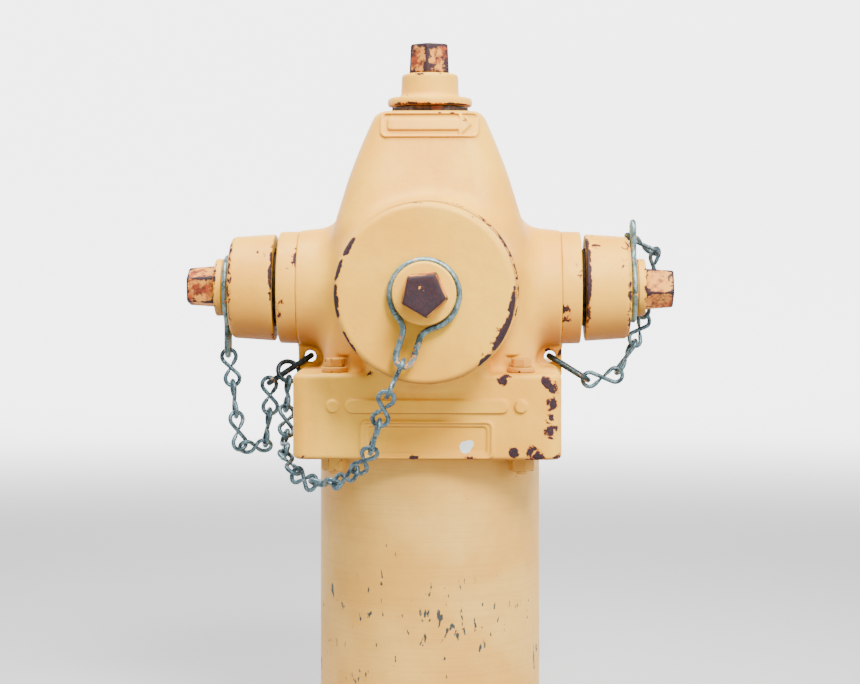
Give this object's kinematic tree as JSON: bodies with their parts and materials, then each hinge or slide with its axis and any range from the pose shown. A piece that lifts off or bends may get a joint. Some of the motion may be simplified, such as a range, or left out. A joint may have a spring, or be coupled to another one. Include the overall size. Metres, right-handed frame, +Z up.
{
  "type": "fire hydrant",
  "caption": "Dry-barrel pillar fire hydrant with square-blocked nozzle section, side hose outlets, front pumper outlet, chained caps and wrench-nut operating gear.",
  "frame": {"origin": "centre of the ground flange's underside, at the axis of its bolt circle", "axes": "+Z up along the standpipe; -Y towards the pumper outlet; -X and +X towards the hose outlets"},
  "size_m": [0.484, 0.4015, 0.7],
  "materials": {
    "cream_paint": "weathered satin paint",
    "rusty_paint": "worn paint over rusted iron",
    "dark_iron": "dark oxidised",
    "bare_steel": "machined",
    "bronze": "machined bronze",
    "rubber": "matte",
    "galvanised_wire": "dulled galvanised"
  },
  "bodies": {
    "barrel": {"nozzle_section": "cream_paint", "standpipe": "cream_paint", "standpipe_top_flange": "cream_paint", "top_lock_ring": "dark_iron", "ground_flange": "cream_paint", "bottom_lock_ring": "dark_iron", "support_wheel": "dark_iron", "lower_joint_gasket": "rubber", "upper_joint_gasket": "rubber", "flange_bolts": "cream_paint", "flange_washers": "cream_paint", "flange_nuts": "rusty_paint", "support_tube": "bare_steel", "support_tube_o_ring": "rubber", "rod_o_rings": "rubber", "thrust_washers": "bronze", "hold_down_nut": "dark_iron", "hold_down_o_ring": "rubber", "left_hose_nozzle": "cream_paint", "right_hose_nozzle": "cream_paint", "pumper_nozzle": "cream_paint", "left_nozzle_o_ring": "rubber", "right_nozzle_o_ring": "rubber", "pumper_nozzle_o_ring": "rubber", "nozzle_lock_screws": "dark_iron", "left_cap_chain": "galvanised_wire", "right_cap_chain": "galvanised_wire", "pumper_cap_chain": "galvanised_wire", "left_anchor_link": "galvanised_wire", "left_branch_ring": "galvanised_wire", "right_anchor_link": "galvanised_wire"},
    "operating_head": {"weather_cap": "rusty_paint", "weather_cap_screw": "dark_iron", "operating_nut": "bronze"},
    "rod": {"operating_rod": "bare_steel", "rod_coupling": "bare_steel", "coupling_pin": "bare_steel"},
    "left_ring": {"left_chain_ring": "galvanised_wire"},
    "left_cap": {"left_hose_cap": "cream_paint", "left_cap_gasket": "rubber"},
    "right_ring": {"right_chain_ring": "galvanised_wire"},
    "right_cap": {"right_hose_cap": "cream_paint", "right_cap_gasket": "rubber"},
    "pumper_ring": {"pumper_chain_ring": "galvanised_wire"},
    "pumper_cap_body": {"pumper_cap": "cream_paint", "pumper_cap_gasket": "rubber"}
  },
  "joints": [
    {"name": "operating_nut_turn", "type": "hinge", "parent": "barrel", "child": "operating_head", "pos_m": [0, 0, 0.65], "axis": [0, 0, 1], "range_deg": [0, 4320]},
    {"name": "rod_travel", "type": "slide", "parent": "barrel", "child": "rod", "axis": [0, 0, -1], "range_m": [0, 0.0763]},
    {"name": "left_ring_slide", "type": "slide", "parent": "barrel", "child": "left_ring", "axis": [-1, 0, 0], "range_m": [0, 0.0339], "deforming": ["left_cap_chain"]},
    {"name": "left_cap_turn", "type": "hinge", "parent": "left_ring", "child": "left_cap", "pos_m": [-0.17, 0, 0.457], "axis": [-1, 0, 0], "range_deg": [0, 3600]},
    {"name": "right_ring_slide", "type": "slide", "parent": "barrel", "child": "right_ring", "axis": [1, 0, 0], "range_m": [0, 0.0339], "deforming": ["right_cap_chain"]},
    {"name": "right_cap_turn", "type": "hinge", "parent": "right_ring", "child": "right_cap", "pos_m": [0.17, 0, 0.457], "axis": [1, 0, 0], "range_deg": [0, 3600]},
    {"name": "pumper_ring_slide", "type": "slide", "parent": "barrel", "child": "pumper_ring", "axis": [0, -1, 0], "range_m": [0, 0.0382], "deforming": ["pumper_cap_chain"]},
    {"name": "pumper_cap_turn", "type": "hinge", "parent": "pumper_ring", "child": "pumper_cap_body", "pos_m": [0, -0.18, 0.457], "axis": [0, -1, 0], "range_deg": [0, 2160]}
  ],
  "couplings": [
    {"joint": "rod_travel", "follows": "operating_nut_turn", "m_per_rad": 0.0010106},
    {"joint": "left_ring_slide", "follows": "left_cap_turn", "m_per_rad": 0.000539},
    {"joint": "right_ring_slide", "follows": "right_cap_turn", "m_per_rad": 0.000539},
    {"joint": "pumper_ring_slide", "follows": "pumper_cap_turn", "m_per_rad": 0.0010106}
  ]
}
